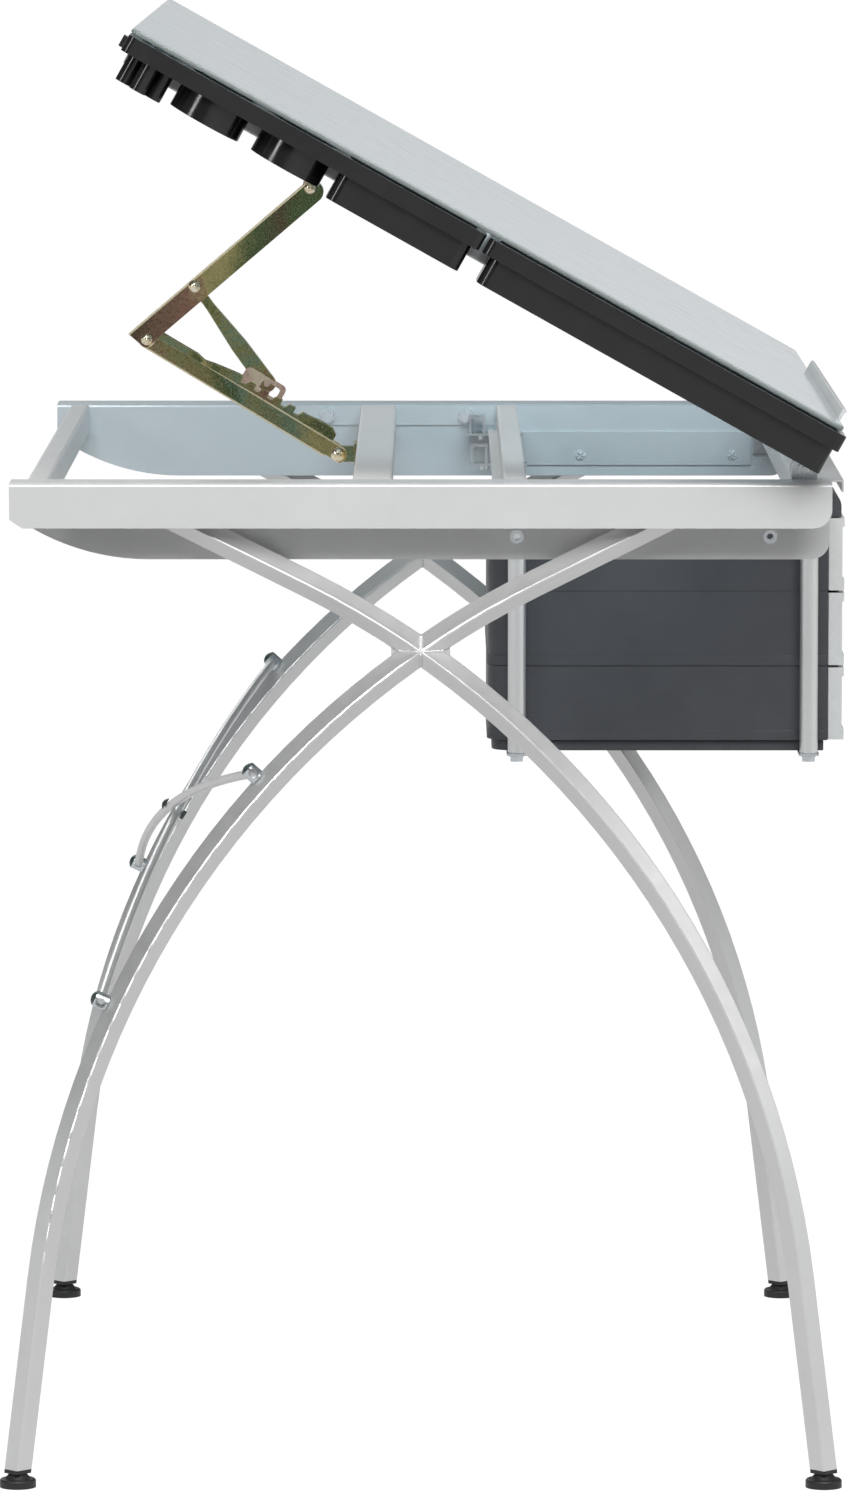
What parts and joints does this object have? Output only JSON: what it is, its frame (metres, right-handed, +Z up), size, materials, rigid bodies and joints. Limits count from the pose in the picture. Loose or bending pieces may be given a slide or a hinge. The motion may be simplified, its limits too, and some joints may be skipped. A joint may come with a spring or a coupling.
{
  "type": "drafting table",
  "caption": "Free-standing drafting table: a glass top that tilts on a toothed support, crossed bow legs, side trays and a hanging three-drawer unit.",
  "frame": {"origin": "on the floor, midway between the four legs", "axes": "+X to the user's right along the table's width, +Y from the user to the rear of the table, +Z up"},
  "size_m": [0.965, 0.6546, 1.0948],
  "materials": {
    "frame_silver": "satin silver powder coat",
    "leg_silver": "satin silver powder coat",
    "zinc_bright": "bright zinc plate",
    "zinc_yellow": "yellow passivated zinc plate, gold to green and pink",
    "rivet_gold": "yellow passivated zinc, polished domes",
    "glass_pale": "tempered glass, pale blue-grey, polished edge",
    "tray_black": "gloss black moulded plastic",
    "housing_grey": "satin slate grey moulded plastic",
    "drawer_white": "translucent white moulded plastic",
    "foot_black": "black moulded plastic",
    "nylon_white": "natural nylon",
    "pad_grey": "soft bumper discs",
    "cap_dark": "dark screw caps"
  },
  "bodies": {
    "frame": {"left_side_rail": "frame_silver", "right_side_rail": "frame_silver", "rear_crossbar": "frame_silver", "middle_crossbar": "frame_silver", "front_middle_crossbar": "frame_silver", "front_apron": "frame_silver", "rail_strips": "zinc_bright", "leg_bolts": "zinc_bright", "rivet_nuts": "zinc_bright", "strip_screws": "zinc_bright", "leg_top_bars": "leg_silver", "left_front_leg": "leg_silver", "left_rear_leg": "leg_silver", "right_front_leg": "leg_silver", "right_rear_leg": "leg_silver", "leg_gussets": "leg_silver", "foot_inserts": "foot_black", "brace_rods": "leg_silver", "brace_posts": "zinc_bright", "brace_screws": "cap_dark", "hinge_ears": "zinc_bright", "hinge_bolts": "zinc_bright", "hinge_washers": "nylon_white", "hanger_tubes": "leg_silver", "hanger_brackets": "zinc_bright", "hanger_bolts": "zinc_bright", "support_straps": "zinc_bright", "drawer_shell_top": "housing_grey", "drawer_shell_middle": "housing_grey", "drawer_shell_bottom": "housing_grey", "drawer_base": "housing_grey", "ratchet_base": "zinc_yellow", "base_rivet": "rivet_gold"},
    "top": {"top_side_rails": "frame_silver", "top_front_rail": "frame_silver", "top_middle_rail": "frame_silver", "top_rear_rail": "frame_silver", "hinge_arms": "frame_silver", "ratchet_top_bracket": "zinc_yellow", "glass_top": "glass_pale", "glass_pads": "pad_grey", "ledge_screws": "zinc_bright"},
    "ledge": {"pencil_ledge": "frame_silver"},
    "lower_arm": {"lower_arm": "zinc_yellow", "ratchet_rack": "zinc_yellow"},
    "upper_arm": {"upper_arm": "zinc_yellow", "arm_rivets": "rivet_gold"},
    "strut": {"strut": "zinc_yellow", "pawl": "zinc_yellow"},
    "left_front_tray": {"left_front_tray": "tray_black"},
    "left_rear_tray": {"left_rear_tray": "tray_black"},
    "right_front_tray": {"right_front_tray": "tray_black"},
    "right_rear_tray": {"right_rear_tray": "tray_black"},
    "drawer_top": {"drawer_top": "drawer_white"},
    "drawer_middle": {"drawer_middle": "drawer_white"},
    "drawer_bottom": {"drawer_bottom": "drawer_white"},
    "left_front_leveler": {"left_front_leveler": "foot_black"},
    "left_rear_leveler": {"left_rear_leveler": "foot_black"},
    "right_front_leveler": {"right_front_leveler": "foot_black"},
    "right_rear_leveler": {"right_rear_leveler": "foot_black"}
  },
  "joints": [
    {"name": "top_tilt", "type": "hinge", "parent": "frame", "child": "top", "pos_m": [0, -0.286, 0.765], "axis": [1, 0, 0], "range_deg": [-29.3, 5.7]},
    {"name": "lower_arm_fold", "type": "hinge", "parent": "frame", "child": "lower_arm", "pos_m": [0, 0.066, 0.7466], "axis": [1, 0, 0], "range_deg": [-85.8, 16.7]},
    {"name": "upper_arm_fold", "type": "hinge", "parent": "lower_arm", "child": "upper_arm", "pos_m": [0, 0.21657, 0.83773], "axis": [1, 0, 0], "range_deg": [-10.6, 54.1]},
    {"name": "strut_fold", "type": "hinge", "parent": "upper_arm", "child": "strut", "pos_m": [0, 0.17864, 0.87927], "axis": [1, 0, 0], "range_deg": [-73.3, 14.3]},
    {"name": "ledge_slide", "type": "slide", "parent": "top", "child": "ledge", "axis": [0, -0.4894, 0.8721], "range_m": [-0.012, 0]},
    {"name": "left_front_tray_off", "type": "slide", "parent": "top", "child": "left_front_tray", "axis": [-1, 0, 0], "range_m": [0, 0.09]},
    {"name": "left_rear_tray_off", "type": "slide", "parent": "top", "child": "left_rear_tray", "axis": [-1, 0, 0], "range_m": [0, 0.09]},
    {"name": "right_front_tray_off", "type": "slide", "parent": "top", "child": "right_front_tray", "axis": [1, 0, 0], "range_m": [0, 0.09]},
    {"name": "right_rear_tray_off", "type": "slide", "parent": "top", "child": "right_rear_tray", "axis": [1, 0, 0], "range_m": [0, 0.09]},
    {"name": "drawer_top_slide", "type": "slide", "parent": "frame", "child": "drawer_top", "axis": [0, -1, 0], "range_m": [0, 0.2]},
    {"name": "drawer_middle_slide", "type": "slide", "parent": "frame", "child": "drawer_middle", "axis": [0, -1, 0], "range_m": [0, 0.2]},
    {"name": "drawer_bottom_slide", "type": "slide", "parent": "frame", "child": "drawer_bottom", "axis": [0, -1, 0], "range_m": [0, 0.2]},
    {"name": "left_front_leveler_turn", "type": "hinge", "parent": "frame", "child": "left_front_leveler", "pos_m": [-0.427, -0.30294, 0.01], "axis": [0, 0, 1], "continuous": true},
    {"name": "left_rear_leveler_turn", "type": "hinge", "parent": "frame", "child": "left_rear_leveler", "pos_m": [-0.427, 0.30294, 0.01], "axis": [0, 0, 1], "continuous": true},
    {"name": "right_front_leveler_turn", "type": "hinge", "parent": "frame", "child": "right_front_leveler", "pos_m": [0.427, -0.30294, 0.01], "axis": [0, 0, 1], "continuous": true},
    {"name": "right_rear_leveler_turn", "type": "hinge", "parent": "frame", "child": "right_rear_leveler", "pos_m": [0.427, 0.30294, 0.01], "axis": [0, 0, 1], "continuous": true}
  ],
  "couplings": [
    {"joint": "lower_arm_fold", "follows": "top_tilt", "ratio": 2.9273},
    {"joint": "upper_arm_fold", "follows": "top_tilt", "ratio": -1.8455},
    {"joint": "strut_fold", "follows": "top_tilt", "ratio": 2.5}
  ]
}
